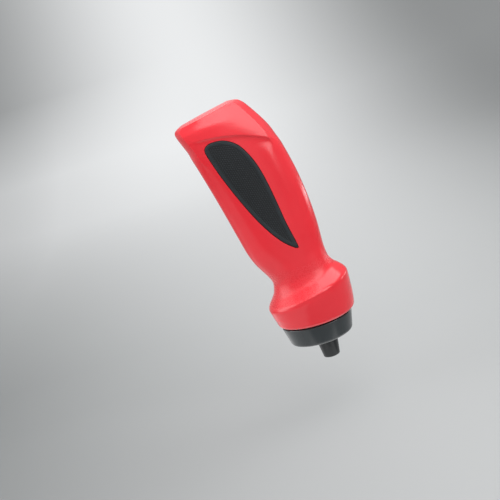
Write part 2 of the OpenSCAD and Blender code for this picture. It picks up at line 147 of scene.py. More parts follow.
# How far a creased section's flanks lean in, and how far its face is domed.
CREASE_IN = 0.27
CREASE_DROP = 0.2
CREASE_POWER = 1.6

# Where the moulded grain is, in mm: above the drum's leaning edge, up to the grip, and not
# on a plain patch at the right of the shelf. Each place has the length that it fades over.
GRAIN_LOW, GRAIN_LEAN, GRAIN_LOW_FADE = 61.5, 0.18, 2.5
GRAIN_TOP, GRAIN_TOP_FADE = 98, 14
PLAIN_LEFT, PLAIN_LEFT_FADE = 8, 4
PLAIN_TOP, PLAIN_TOP_FADE = 84, 10
END_FADE = 0.5

# The pads' outline, as x and z in mm about the cap's axis.
PAD_OUTLINE = [
    [-38.6, 211.2], [-29.5, 209.7], [-20.7, 203.9], [-14.6, 194.6], [-9.6, 182.0],
    [-6.3, 167.0], [-3.6, 148.0], [-1.2, 128.0], [2.0, 110.0], [2.2, 104.6],
    [-2.0, 106.4], [-11.0, 115.5], [-22.0, 133.0], [-32.4, 156.0], [-41.2, 180.0],
    [-46.3, 197.0], [-48.0, 205.6], [-45.0, 210.0],
]
OUTLINE_STEPS = 8
# A pad's gap to its window, how far it stands proud of the shell, the lip hidden under
# the shell, its rounded edge, its smooth rim and the dots inside that.
PAD_GAP = 0.35
PAD_PROUD = 0.5
LIP_TOP = 2.9
LIP_LOW = 3.8
LIP_GROW = 2.6
PAD_ROUND = 1.1
RIM_WIDTH = 3.2
RIM_FADE = 0.6
DOT_PITCH = 2.0
DOT_HEIGHT = 0.32
DOT_LEAN = math.radians(-17)
PAD_CRISP = 50
# Spacing of the pad's points: on its skin, rim, lip and back.
PAD_STEP = 0.34
RIM_STEP = 0.5
LIP_STEP = 1.2
BACK_STEP = 4
# A pad's inner points keep this share of a step away from its edge.
EDGE_CLEAR = 0.6

# Screws that hold the shells together: x, z.
SCREWS = [(-29.4, 50), (29.2, 50), (-35.2, 112), (18.6, 112), (-51.6, 190), (12.2, 184)]
BOSS_R = 3.4
HEAD_HOLE_R = 3.0
SHAFT_HOLE_R = 1.7
INSERT_HOLE_R = 2.2
HEAD_Y = 9
INSERT_DEPTH = 9
PIN_SIDES = 48
# Cutting tools run from well inside the walls to well outside the handle.
WINDOW_FROM, TOOL_FAR = 5, 60
HEAD_TOOL_TOP = 50
FAR_Y = 80
NOT_ZERO = 1e-12
OVERRUN = 1


def ease(t):
    """0 below 0, 1 above 1 and smooth between."""
    u = np.clip(t, 0, 1)
    return u * u * (3 - 2 * u)


def spline(a, b, c, d, t):
    """Catmull-Rom point between b and c."""
    return 0.5 * (
        2 * b
        + (c - a) * t
        + (2 * a - 5 * b + 4 * c - d) * t * t
        + (3 * b - a - 3 * c + d) * t**3
    )


def smooth_open(points, steps):
    """A smooth line through the points, with steps between each two."""
    p = np.array(points, float)
    last = len(p) - 1
    fine = [
        spline(p[max(i - 1, 0)], p[i], p[i + 1], p[min(i + 2, last)], k / steps)
        for i in range(last)
        for k in range(steps)
    ]
    return np.array([*fine, p[last]])


def smooth_closed(points, steps):
    """A smooth closed line through the points."""
    p = np.array(points, float)
    n = len(p)
    return np.array(
        [
            spline(p[i - 1], p[i], p[(i + 1) % n], p[(i + 2) % n], k / steps)
            for i in range(n)
            for k in range(steps)
        ]
    )


def crease_z(x):
    """Height of the raised shield's lower crease."""
    return CREASE_TOP - CREASE_FALL * np.maximum(0, x - CREASE_X) ** 2


def recess(x, z):
    """Depth of the palm recess: sharp at the crease, then fading out all round."""
    below = crease_z(x) - z
    start = 1 - np.exp(-np.maximum(below, 0) / RECESS_STEP)
    fade = ease((z - RECESS_LOW) / RECESS_LOW_FADE)
    fade *= ease((x - RECESS_LEFT) / RECESS_LEFT_FADE)
    fade *= ease((RECESS_RIGHT - x) / RECESS_RIGHT_FADE)
    return RECESS_DEPTH * start * fade


def rounded(turn, half, deep, power):
    """An evenly rounded half section: flattened circle with a squareness."""
    c, s = np.cos(turn), np.sin(turn)
    return half * np.sign(c) * np.abs(c) ** power, deep * np.abs(s) ** power


def creased(turn, half, deep):
    """A half section with plain flanks that meet its domed face at 45 degrees."""
    c, s = np.cos(turn), np.sin(turn)
    t = np.arctan2(np.abs(s), np.abs(c)) / (math.pi / 4)
    into = CREASE_IN * deep
    u = np.where(t <= 1, half - into * t**CREASE_POWER, (half - into) * (2 - t))
    v = np.where(t <= 1, (1 - CREASE_DROP) * t, 1 - CREASE_DROP * (2 - t) ** 2)
    return np.sign(c) * u, deep * v


def even_points(u, v, count):
    """The same line with evenly spaced points."""
    run = np.concatenate([[0], np.cumsum(np.hypot(np.diff(u), np.diff(v)))])
    even = np.linspace(0, run[-1], count + 1)
    return np.interp(even, run, u), np.interp(even, run, v)


def section(row, inset, side):
    """Half a section from the right edge round the side to the left edge, in mm."""
    left = row[0:2]
    right = row[2:4]
    span = np.linalg.norm(right - left)
    along = (right - left) / span
    half = span / 2 - inset
    deep = row[4] - inset
    turn = np.linspace(0, math.pi, TURN_POINTS)
    crease = row[6]
    line = (1 - crease) * np.array(rounded(turn, half, deep, 2 / row[5]))
    line += crease * np.array(creased(turn, half, deep))
    stretches = (
        (0, FLANK_END, FLANK_POINTS),
        (FLANK_END, FACE_END, FACE_POINTS),
        (FACE_END, TURN_POINTS - 1, FLANK_POINTS),
    )
    parts = [even_points(*line[:, a : b + 1], count) for a, b, count in stretches]
    u = np.concatenate([part[0][:-1] for part in parts] + [[-half]])
    v = np.concatenate([part[1][:-1] for part in parts] + [[0]])
    v[0] = 0
    x, z = (left + right)[:, None] / 2 + along[:, None] * u
    return np.stack([x, side * v * (1 - recess(x, z) / deep), z], axis=1)


def round_section(radius, z, side):
    """Half a circle about the cap's axis, in mm."""
    turn = np.linspace(0, math.pi, HALF_POINTS + 1)
    y = side * radius * np.sin(turn)
    y[0] = y[-1] = 0
    return np.stack([radius * np.cos(turn), y, np.full_like(y, z)], axis=1)


# ---------------------------------------------------------------- mesh helpers


def new_object(name, mesh):
    """An object in the scene."""
    obj = bpy.data.objects.new(name, mesh)
    bpy.context.scene.collection.objects.link(obj)
    return obj


def on_axis(points):
    """Points in mm about the cap's axis, as vectors in metres in the frame."""
    return [Vector((p[0] * MM + AXIS_X, p[1] * MM, p[2] * MM + BASE_Z)) for p in points]


def mesh_object(name, points, faces):
    """A mesh object from points in mm about the cap's axis."""
    mesh = bpy.data.meshes.new(name)
    mesh.from_pydata(on_axis(points), [], faces)
    mesh.validate()
    return new_object(name, mesh)


def face_outward(obj):
    """Turns every face outward."""
    bm = bmesh.new()
    bm.from_mesh(obj.data)
    bmesh.ops.recalc_face_normals(bm, faces=bm.faces)
    if bm.calc_volume(signed=True) < 0:
        bmesh.ops.reverse_faces(bm, faces=bm.faces)
    bm.to_mesh(obj.data)
    bm.free()


def shade(obj, angle=32):
    """Smooth shading that keeps edges sharper than the angle crisp."""
    for polygon in obj.data.polygons:
        polygon.use_smooth = True
    obj.data.set_sharp_from_angle(angle=math.radians(angle))


def store(obj, name, values):
    """Keeps one number for each vertex, for a material to read."""
    obj.data.attributes.new(name, "FLOAT", "POINT").data.foreach_set("value", values)


def grid_faces(rings, count):
    """Quads between open rows of points."""
    return [
        (r * count + i, r * count + i + 1, (r + 1) * count + i + 1, (r + 1) * count + i)
        for r in range(rings - 1)
        for i in range(count - 1)
    ]


def loop_faces(rings, count):
    """Quads between closed rings of points."""
    return [
        (
            r * count + i,
            r * count + (i + 1) % count,
            (r + 1) * count + (i + 1) % count,
            (r + 1) * count + i,
        )
        for r in range(rings - 1)
        for i in range(count)
    ]


def apply_modifiers(obj):
    """Replaces the mesh by what its modifiers make of it."""
    depsgraph = bpy.context.evaluated_depsgraph_get()
    mesh = bpy.data.meshes.new_from_object(obj.evaluated_get(depsgraph))
    obj.modifiers.clear()
    old = obj.data
    obj.data = mesh
    bpy.data.meshes.remove(old)


def cut(obj, tool, operation="DIFFERENCE"):
    """Exact boolean with another object, which is then removed."""
    modifier = obj.modifiers.new("cut", "BOOLEAN")
    modifier.operation = operation
    modifier.solver = "EXACT"
    modifier.object = tool
    apply_modifiers(obj)
    bpy.data.objects.remove(tool)


def prism(name, outline, y_low, y_high):
    """A prism along Y with an outline of (x, z) points, in mm about the cap's axis."""
    n = len(outline)
    points = [(x, y, z) for y in (y_low, y_high) for x, z in outline]
    sides = [(i, (i + 1) % n, n + (i + 1) % n, n + i) for i in range(n)]
    obj = mesh_object(name, points, [tuple(range(n)), tuple(range(n, 2 * n)), *sides])
    face_outward(obj)
    return obj


def pins(name, radius, y_low, y_high):
    """A cylinder along Y at each screw, as one object."""
    turn = np.linspace(0, 2 * math.pi, PIN_SIDES, endpoint=False)
    bm = bmesh.new()
    for x, z in SCREWS:
        ring = [(x + radius * math.cos(a), z + radius * math.sin(a)) for a in turn]
        ends = []
        for y in (y_low, y_high):
            ends.append([bm.verts.new(v) for v in on_axis([(a, y, b) for a, b in ring])])
            bm.faces.new(ends[-1])
        for i in range(PIN_SIDES):
            j = (i + 1) % PIN_SIDES
            bm.faces.new((ends[0][i], ends[0][j], ends[1][j], ends[1][i]))
    mesh = bpy.data.meshes.new(name)
    bm.to_mesh(mesh)
    bm.free()
    obj = new_object(name, mesh)
    face_outward(obj)
    return obj


def grow(outline, distance):
    """A closed outline of (x, z) points moved outward by a distance."""
    p = np.array(outline)
    along = np.roll(p, -1, axis=0) - np.roll(p, 1, axis=0)
    normal = np.stack([along[:, 1], -along[:, 0]], axis=1)
    normal /= np.linalg.norm(normal, axis=1)[:, None]
    area = np.sum(p[:, 0] * np.roll(p[:, 1], -1) - np.roll(p[:, 0], -1) * p[:, 1])
    return p + normal * distance * (1 if area > 0 else -1)


# ---------------------------------------------------------------- shells


def shell_rings(side):
    """Half sections from the inner butt end, round the rim, to the outer butt end."""
    inner = smooth_open(HANDLE[INSIDE_ROWS], INSIDE_STEPS)[::-1]
    rings = [section(row, SHELL_WALL, side) for row in inner]
    rim = [
        (RIM_HOLE_R, RIM_TOP),
        (RIM_HOLE_R, POCKET_TOP),
        (POCKET_R, POCKET_TOP),
        (POCKET_R, POCKET_LOW),
        (RIM_HOLE_R, POCKET_LOW),
        (RIM_HOLE_R, RIM_LOW),
    ]
    rings += [round_section(r, z, side) for r, z in rim]
    rings += [section(row, 0, side) for row in smooth_open(HANDLE, RING_STEPS)]
    return rings, len(inner) + len(rim)


def groove_parting_edge(obj, first_outer, rings):
    """Bevels the outer edge of the parting face, which leaves a fine seam groove."""
    count = HALF_POINTS + 1
    outer = set(range(first_outer * count, rings * count))
    bm = bmesh.new()
    bm.from_mesh(obj.data)
    bm.verts.ensure_lookup_table()
    edges = [
        e
        for e in bm.edges
        if all(abs(v.co.y) < FLAT and v.index in outer for v in e.verts)
    ]
    bmesh.ops.bevel(bm, geom=edges, offset=SEAM_BEVEL * MM, segments=1, affect="EDGES")
    bm.to_mesh(obj.data)
    bm.free()


def paint_finish(obj):
    """Stores where the moulded grain is, on the shelf and neck, and where the end face is."""
    x = np.array([v.co.x - AXIS_X for v in obj.data.vertices]) / MM
    z = np.array([v.co.z - BASE_Z for v in obj.data.vertices]) / MM
    above_drum = ease((z - (GRAIN_LOW + GRAIN_LEAN * x)) / GRAIN_LOW_FADE)
    below_grip = ease((GRAIN_TOP - z) / GRAIN_TOP_FADE)
    plain = ease((x - PLAIN_LEFT) / PLAIN_LEFT_FADE) * ease((PLAIN_TOP - z) / PLAIN_TOP_FADE)
    store(obj, "grain", above_drum * below_grip * (1 - plain))
    left, right = np.array(HANDLE[-1][0:2]), np.array(HANDLE[-1][2:4])
    along = (right - left) / np.linalg.norm(right - left)
    below_end = (x - left[0]) * along[1] - (z - left[1]) * along[0]
    store(obj, "end", ease(1 - below_end / END_FADE))


def form_surface(rows, inset, side):
    """The form moved inward by inset, to drop points on along Y."""
    rings = [section(row, inset, side) for row in rows]
    faces = grid_faces(len(rings), HALF_POINTS + 1)
    return BVHTree.FromPolygons([Vector(p) for p in np.concatenate(rings)], faces)


def drop_on(surface, x, z, side):
    """Y of the surface at a place, seen from outside."""
    hit = surface.ray_cast(Vector((x, side * FAR_Y, z)), Vector((0, -side, 0)))[0]
    return hit.y


def boss_tool(side):
    """Screw bosses from the parting plane to just inside the outer surface."""
    surface = form_surface(smooth_open(HANDLE, INSIDE_STEPS), SHELL_WALL / 2, side)
    turn = np.linspace(0, 2 * math.pi, PIN_SIDES, endpoint=False)
    bm = bmesh.new()
    for x, z in SCREWS:
        ring = [(x + BOSS_R * math.cos(a), z + BOSS_R * math.sin(a)) for a in turn]
        low = [(a, 0, b) for a, b in ring]
        high = [(a, drop_on(surface, a, b, side), b) for a, b in ring]
        ends = [[bm.verts.new(v) for v in on_axis(points)] for points in (low, high)]
        top = (x, drop_on(surface, x, z, side), z)
        middle = bm.verts.new(on_axis([top])[0])
        bm.faces.new(ends[0])
        for i in range(len(ring)):
            j = (i + 1) % len(ring)
            bm.faces.new((ends[0][i], ends[0][j], ends[1][j], ends[1][i]))
            bm.faces.new((ends[1][i], ends[1][j], middle))
    mesh = bpy.data.meshes.new("bosses")
    bm.to_mesh(mesh)
    bm.free()
    obj = new_object("bosses", mesh)
    face_outward(obj)
    return obj


def make_shell(name, node, side):
    """One half of the handle: hollow, with a window for the pad and screw bosses."""
    rings, first_outer = shell_rings(side)
    count = HALF_POINTS + 1
    faces = grid_faces(len(rings), count)
    last = (len(rings) - 1) * count
    faces.append(tuple(range(count)))
    faces.append(tuple(range(last, last + count)))
    right = [r * count for r in range(len(rings))]
    left = [r * count + count - 1 for r in range(len(rings))]
    faces.append((*right, *left[::-1]))
    low, high = [(np.array(v) - (AXIS_X, 0, BASE_Z)) / MM for v in (CAD_LOW, CAD_HIGH)]
    obj = mesh_object(name, np.clip(np.concatenate(rings), low, high), faces)
    face_outward(obj)
    groove_parting_edge(obj, first_outer, len(rings))
    y_low, y_high = sorted((side * WINDOW_FROM, side * TOOL_FAR))
    cut(obj, prism("window", smooth_closed(PAD_OUTLINE, OUTLINE_STEPS), y_low, y_high))
    cut(obj, boss_tool(side), "UNION")
    if side == PALM:
        cut(obj, pins("insert_holes", INSERT_HOLE_R, -INSERT_DEPTH, OVERRUN))
    else:
        cut(obj, pins("shaft_holes", SHAFT_HOLE_R, -OVERRUN, HEAD_Y + OVERRUN / 2))
        cut(obj, pins("head_holes", HEAD_HOLE_R, HEAD_Y, HEAD_TOOL_TOP))
    face_outward(obj)
    paint_finish(obj)
    shade(obj)
    obj.data.materials.clear()
    obj.data.materials.append(red_plastic())
    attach(obj, "handle")
    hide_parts(node)


# ---------------------------------------------------------------- pads


def edge_distance(points, outline):
    """Distance of each point from a closed outline."""
    a = np.array(outline)
    step = np.roll(a, -1, axis=0) - a
    length = np.sum(step**2, axis=1)
    best = np.full(len(points), np.inf)
    for start, way, square in zip(a, step, length):
        t = np.clip((points - start) @ way / square, 0, 1)
        best = np.minimum(best, np.linalg.norm(points - start - t[:, None] * way, axis=1))
    return best


def inside(points, outline):
    """Which points lie inside a closed outline."""
    a = np.array(outline)
    b = np.roll(a, -1, axis=0)
    odd = np.zeros(len(points), bool)
    for (ax, az), (bx, bz) in zip(a, b):
        crosses = (az > points[:, 1]) != (bz > points[:, 1])
        reach = ax + (points[:, 1] - az) * (bx - ax) / (bz - az + NOT_ZERO)
        odd ^= crosses & (points[:, 0] < reach)
    return odd


def fill(outline, step):
    """Triangles that fill an outline, with evenly spaced points between."""
    a = np.array(outline)
    low, high = a.min(axis=0), a.max(axis=0)
    grid = np.stack(
        np.meshgrid(np.arange(low[0], high[0], step), np.arange(low[1], high[1], step)), axis=-1
    ).reshape(-1, 2)
    grid = grid[inside(grid, a)]
    grid = grid[edge_distance(grid, a) > step * EDGE_CLEAR]
    points = [Vector(p) for p in (*a, *grid)]
    n = len(a)
    edges = [(i, (i + 1) % n) for i in range(n)]
    inside_only, epsilon = 1, 1e-6
    result = delaunay_2d_cdt(points, edges, [list(range(n))], inside_only, epsilon)
    return np.array([tuple(p) for p in result[0]]), [tuple(f) for f in result[2]]


def dots(points):
    """Height of close-set round dots, from 0 to 1."""
    c, s = math.cos(DOT_LEAN), math.sin(DOT_LEAN)
    x = points[:, 0] * c - points[:, 1] * s
    z = points[:, 0] * s + points[:, 1] * c
    wave = 4 * math.pi / (math.sqrt(3) * DOT_PITCH)
    ways = np.arange(3) * math.pi / 3 * 2
    total = sum(np.cos(wave * (x * math.cos(a) + z * math.sin(a))) for a in ways)
    # The three waves add up to between -1.5 and 3.
    return np.clip((total + 1.5) / 4.5, 0, 1)


def make_pad(name, node, side):
    """The window's rubber pad: dotted skin, smooth rim, rounded edge and hidden lip."""
    outline = smooth_closed(PAD_OUTLINE, OUTLINE_STEPS)
    rim = even_loop(grow(outline, -PAD_GAP), RIM_STEP)
    lip = even_loop(grow(outline, LIP_GROW), LIP_STEP)
    rows = smooth_open(HANDLE[PAD_ROWS], RING_STEPS)
    skin, lip_top, lip_low = (
        form_surface(rows, inset, side) for inset in (-PAD_PROUD, LIP_TOP, LIP_LOW)
    )
    top, faces = fill(rim, PAD_STEP)
    gap = edge_distance(top, rim)
    near = np.clip(PAD_ROUND - gap, 0, PAD_ROUND)
    sunk = PAD_ROUND - np.sqrt(PAD_ROUND**2 - near**2)
    hollow = (1 - dots(top)) * ease((gap - RIM_WIDTH + RIM_FADE) / RIM_FADE)
    sunk = sunk + DOT_HEIGHT * hollow
    y = [drop_on(skin, px, pz, side) for px, pz in top]
    points = [(p[0], yy - side * d, p[1]) for p, yy, d in zip(top, y, sunk)]
    n, m = len(rim), len(lip)
    under = len(points)
    points += [(px, drop_on(lip_top, px, pz, side), pz) for px, pz in rim]
    ledge = len(points)
    points += [(px, drop_on(lip_top, px, pz, side), pz) for px, pz in lip]
    back, back_faces = fill(lip, BACK_STEP)
    floor = len(points)
    points += [(px, drop_on(lip_low, px, pz, side), pz) for px, pz in back]
    faces = [*faces, *(tuple(floor + i for i in f) for f in back_faces)]
    faces += [(i, (i + 1) % n, under + (i + 1) % n, under + i) for i in range(n)]
    turns = [(i, (i + 1) % m) for i in range(m)]
    faces += [(ledge + i, ledge + j, floor + j, floor + i) for i, j in turns]
    faces += bridge(range(under, under + n), range(ledge, ledge + m))
    obj = mesh_object(name, points, faces)
    face_outward(obj)
    # The hollows' depth is also kept for the material, which paints shade into them.
    store(obj, "hollow", np.concatenate([hollow, np.zeros(len(points) - len(top))]))
    shade(obj, PAD_CRISP)
    obj.data.materials.append(pad_rubber())
    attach(obj, node)
    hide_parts(node)


def even_loop(outline, step):
    """A closed outline with evenly spaced points about step apart."""
    a = np.array(outline)
    loop = np.vstack([a, a[:1]])
    run = np.concatenate([[0], np.cumsum(np.linalg.norm(np.diff(loop, axis=0), axis=1))])
    even = np.linspace(0, run[-1], int(run[-1] / step), endpoint=False)
    return np.stack([np.interp(even, run, loop[:, k]) for k in (0, 1)], axis=1)


def bridge(inner, outer):
    """Triangles between two loops that run the same way round and start side by side."""
    n, m = len(inner), len(outer)
    i = j = 0
    faces = []
    while i < n or j < m:
        if j == m or (i < n and i / n <= j / m):
            faces.append((inner[i % n], inner[(i + 1) % n], outer[j % m]))
            i += 1
        else:
            faces.append((inner[i % n], outer[(j + 1) % m], outer[j % m]))
            j += 1
    return faces


# ---------------------------------------------------------------- spring

WIRE_R = 0.35
COIL_R = 3.4
COIL_TURNS = 4
TURN_STEPS = 48
WIRE_SIDES = 16


def make_spring():
    """The spring under the valve's ball."""
    low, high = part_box("valve_spring")
    start = (low.z - BASE_Z) / MM + WIRE_R
    rise = (high.z - low.z) / MM - 2 * WIRE_R
    count = COIL_TURNS * TURN_STEPS
    points = []
    for k in range(count + 1):
        turn = 2 * math.pi * k / TURN_STEPS
        for a in np.linspace(0, 2 * math.pi, WIRE_SIDES, endpoint=False):
            reach = COIL_R + WIRE_R * math.cos(a)
            z = start + rise * k / count + WIRE_R * math.sin(a)
            points.append((reach * math.cos(turn), reach * math.sin(turn), z))
    faces = loop_faces(count + 1, WIRE_SIDES)
    faces.append(tuple(range(WIRE_SIDES)))
    faces.append(tuple(range(len(points) - WIRE_SIDES, len(points))))
    obj = mesh_object("valve_spring_coil", points, faces)
    face_outward(obj)
    shade(obj)
    obj.data.materials.append(steel())
    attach(obj, "closure")
    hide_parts("valve_spring")
    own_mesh(obj)


# ---------------------------------------------------------------- materials

# The range that most of a noise lies in, and the pointiness of the convex edges that are
# painted lighter, as wear and as a painted highlight.
NOISE_SPREAD = (0.3, 0.7)
WEAR_AND_HIGHLIGHT_EDGES = (0.52, 0.60)


class Nodes:
    """A short way to build a material's node tree."""

    def __init__(self, name):
        self.material = bpy.data.materials.new(name)
        self.material.use_nodes = True
        self.tree = self.material.node_tree
        self.tree.nodes.clear()
        self.output = self.add("ShaderNodeOutputMaterial")
        self.shader = self.add("ShaderNodeBsdfPrincipled")
        self.link(self.shader.outputs["BSDF"], self.output.inputs["Surface"])
        self.place = self.add("ShaderNodeTexCoord").outputs["Object"]

    def add(self, kind, **values):
        node = self.tree.nodes.new(kind)
        for key, value in values.items():
            setattr(node, key, value)
        return node

    def link(self, a, b):
        self.tree.links.new(a, b)

    def set(self, **values):
        """Sets the shader's own sockets, named with _ for a space."""
        for key, value in values.items():
            self.shader.inputs[key.replace("_", " ")].default_value = value

    def noise(self, size_mm, detail=2.0, roughness=0.5):
        """Noise whose features are about size_mm across, from 0 to 1."""
        node = self.add("ShaderNodeTexNoise")
        node.inputs["Scale"].default_value = 1 / (size_mm * MM)
        node.inputs["Detail"].default_value = detail
        node.inputs["Roughness"].default_value = roughness
        self.link(self.place, node.inputs["Vector"])
        return node.outputs["Fac"]

    def edge_wear_and_highlight(self, share):
        """The share given on convex edges, 0 elsewhere: worn edges painted lighter, which also
        stand in for a painted highlight.
        """
        geometry = self.add("ShaderNodeNewGeometry")
        return self.remap(geometry.outputs["Pointiness"], *WEAR_AND_HIGHLIGHT_EDGES, 0, share)

    def vary(self, size_mm, detail, low, high):
        """A value that wanders from low to high, with features about size_mm across."""
        return self.remap(self.noise(size_mm, detail), *NOISE_SPREAD, low, high)

    def attribute(self, name):
        """One of the numbers that store() keeps."""
        return self.add("ShaderNodeAttribute", attribute_name=name).outputs["Fac"]

    def remap(self, value, low, high, to_low, to_high, shape="LINEAR"):
        node = self.add("ShaderNodeMapRange", interpolation_type=shape)
        self.link(value, node.inputs["Value"])
        for key, number in zip(
            ("From Min", "From Max", "To Min", "To Max"), (low, high, to_low, to_high)
        ):
            node.inputs[key].default_value = number
        return node.outputs["Result"]

    def math(self, operation, a, b=0):
        node = self.add("ShaderNodeMath", operation=operation)
        for socket, value in zip(node.inputs, (a, b)):
            if isinstance(value, (int, float)):
                socket.default_value = value
            else:
                self.link(value, socket)
        return node.outputs["Value"]

    def mix(self, factor, a, b):
        """Colour a where the factor is 0 and b where it is 1."""
        node = self.add("ShaderNodeMix", data_type="RGBA")
        self.link(factor, node.inputs["Factor"])
        for socket, value in ((node.inputs["A"], a), (node.inputs["B"], b)):
            if isinstance(value, tuple):
                socket.default_value = (*value, 1)
            else:
                self.link(value, socket)
        return node.outputs["Result"]

    def mix_value(self, factor, a, b):
        """Value a where the factor is 0 and b where it is 1."""
        node = self.add("ShaderNodeMix")
        for socket, value in zip(("Factor", "A", "B"), (factor, a, b)):
            self.link(value, node.inputs[socket])
        return node.outputs["Result"]

    def bump(self, height, distance_mm, strength=1.0, under=None):
        node = self.add("ShaderNodeBump")
        node.inputs["Distance"].default_value = distance_mm * MM
        node.inputs["Strength"].default_value = strength
        self.link(height, node.inputs["Height"])
        if under is not None:
            self.link(under, node.inputs["Normal"])
        return node.outputs["Normal"]

    def colour(self, value):
        self.link(value, self.shader.inputs["Base Color"])

    def roughness(self, value):
        self.link(value, self.shader.inputs["Roughness"])

    def normal(self, value):
        self.link(value, self.shader.inputs["Normal"])


MATERIALS = {}


def material(name):
    """Makes each material once, by the function that it decorates."""

    def wrap(build):
        def get():
            if name not in MATERIALS:
                n = Nodes(name)
                build(n)
                MATERIALS[name] = n.material
            return MATERIALS[name]

        return get

    return wrap


@material("red_plastic")
def red_plastic(n):
    """Glossy red moulding, finely grained on the shelf and neck and satin on its end."""
    grain = n.attribute("grain")
    body = n.mix(n.noise(38, 3), (0.58, 0.015, 0.024), (0.65, 0.020, 0.031))
    speck = n.mix(n.remap(n.noise(0.9, 4), 0.35, 0.7, 0, 0.12), body, (0.50, 0.006, 0.012))
    # Convex edges are painted a lighter pink: partly wear, partly a painted highlight along the
    # edges.
    n.colour(n.mix(n.edge_wear_and_highlight(0.3), speck, (0.86, 0.08, 0.10)))
    smooth = n.vary(14, 4, 0.14, 0.20)
    rough = n.vary(1.1, 3, 0.22, 0.34)
    satin = n.vary(2.5, 4, 0.24, 0.32)
    n.roughness(n.mix_value(n.attribute("end"), n.mix_value(grain, smooth, rough), satin))
    ripple = n.bump(n.noise(9, 2), 0.05, 0.5)
    height = n.math("MULTIPLY", n.noise(1.2, 2, 0.6), grain)
    n.normal(n.bump(height, 0.30, 1.0, ripple))
    n.set(IOR=1.5)


@material("pad_rubber")
def pad_rubber(n):
    """Near-black rubber, with painted shade in the hollows between its dots."""
    body = n.mix(n.noise(12, 4), (0.010, 0.014, 0.016), (0.016, 0.021, 0.024))
    # Painted shade: the hollows between the dots are painted nearly black.
    dotted_with_painted_shade = n.mix(n.attribute("hollow"), body, (0.003, 0.003, 0.004))
    # Convex edges are painted lighter: partly wear, partly a painted highlight.
    n.colour(n.mix(n.edge_wear_and_highlight(0.4), dotted_with_painted_shade, (0.06, 0.065, 0.07)))
    n.roughness(n.vary(1.2, 4, 0.45, 0.65))
    n.normal(n.bump(n.noise(0.3, 3), 0.03))
    n.set(IOR=1.36)


@material("cap_plastic")
def cap_plastic(n):
    """Dark grey satin moulding."""
    body = n.mix(n.noise(25, 3), (0.012, 0.016, 0.018), (0.018, 0.023, 0.025))
    # Convex edges are painted light grey: partly wear, partly a painted highlight along the
    # cap's rounded edges.
    n.colour(n.mix(n.edge_wear_and_highlight(0.6), body, (0.12, 0.13, 0.135)))
    n.roughness(n.vary(3.0, 4, 0.16, 0.24))
    n.normal(n.bump(n.noise(1.2, 3), 0.012))
    n.set(IOR=1.5)


@material("nozzle_plastic")
def nozzle_plastic(n):
    """Dark satin moulding, a little smoother than the cap."""
    body = n.mix(n.noise(15, 3), (0.004, 0.005, 0.006), (0.007, 0.009, 0.010))
    # Convex edges are painted lighter: partly wear, partly a painted highlight.
    n.colour(n.mix(n.edge_wear_and_highlight(0.6), body, (0.10, 0.11, 0.115)))
    n.roughness(n.vary(2.0, 4, 0.14, 0.22))
    n.normal(n.bump(n.noise(1.0, 3), 0.010))
    n.set(IOR=1.4)


@material("flask_plastic")
def flask_plastic(n):
    """Milky blow-moulded polyethylene."""
    n.colour(n.mix(n.noise(20, 4), (0.72, 0.72, 0.67), (0.80, 0.80, 0.76)))
    n.roughness(n.vary(2, 4, 0.35, 0.5))
    n.normal(n.bump(n.noise(1.2, 3), 0.03))
    n.set(Subsurface_Weight=0.25, Subsurface_Scale=0.003)


@material("natural_plastic")
def natural_plastic(n):
    """Unpigmented moulding with faint flow marks."""
    n.colour(n.mix(n.noise(8, 5), (0.62, 0.61, 0.55), (0.72, 0.71, 0.65)))
    n.roughness(n.vary(1.5, 4, 0.3, 0.45))
    n.normal(n.bump(n.noise(0.6, 3), 0.02))


@material("seal_rubber")
def seal_rubber(n):
    """Matt black rubber."""
    n.colour(n.mix(n.noise(3, 4), (0.012, 0.012, 0.012), (0.024, 0.024, 0.024)))
    n.roughness(n.vary(0.6, 4, 0.45, 0.65))
    n.normal(n.bump(n.noise(0.25, 3), 0.01))


@material("steel")
def steel(n):
    """Bright steel with fine marks."""
    n.colour(n.mix(n.noise(2, 5), (0.50, 0.51, 0.53), (0.62, 0.63, 0.65)))
    n.roughness(n.vary(0.3, 5, 0.18, 0.36))
    n.normal(n.bump(n.noise(0.15, 3), 0.006))
    n.set(Metallic=1.0)


@material("brass")
def brass(n):
    """Turned brass."""
    n.colour(n.mix(n.noise(1.5, 5), (0.62, 0.42, 0.13), (0.74, 0.54, 0.20)))
    n.roughness(n.vary(0.3, 5, 0.22, 0.4))
    n.normal(n.bump(n.noise(0.2, 3), 0.006))
    n.set(Metallic=1.0)


SLOT_MATERIALS = {
    "red_shell": red_plastic,
    "pad_rubber": pad_rubber,
    "cap_plastic": cap_plastic,
    "nozzle_plastic": nozzle_plastic,
    "flask_plastic": flask_plastic,
    "natural_plastic": natural_plastic,
    "seal_rubber": seal_rubber,
    "steel": steel,
    "brass": brass,
}


def paint_cad_nodes():
    """Gives every CAD node the detailed material of its slot."""
    for part in frame["record"]["subparts"]:
        node = NODES[part["node"]]
        node.data.materials.clear()
        node.data.materials.append(SLOT_MATERIALS[part["material_slot"]]())


# ---------------------------------------------------------------- stage

# The camera looks a little down and leans; the point it looks at is about the cap's axis.
TILT = math.radians(18)
ELEVATION = math.radians(12.5)
TARGET_X, TARGET_Z = -37.3, 110.3
VIEW_WIDTH = 0.430
LENS = 85
SENSOR = 36

# The backdrop is a flat floor that bends up into a wall and a dome.
FLOOR_DROP = 0.042
FLOOR_FLAT = 1.3
FLOOR_BEND = 1.3
BEND_STEPS = 25
BACKDROP_SIDES = 96

# The backdrop glows faintly, which lights the room evenly and shapes the floor's tone.
# A soft band runs away from the camera: its line, place, half width and levels at the
# object and far behind.
BAND_LINE = (0.998, 0.062, 0)
BAND_PLACE = 0.085
BAND_HALF = 0.60
BAND_LEVEL = (0.33, 0.56)
BAND_LENGTH = 1.7
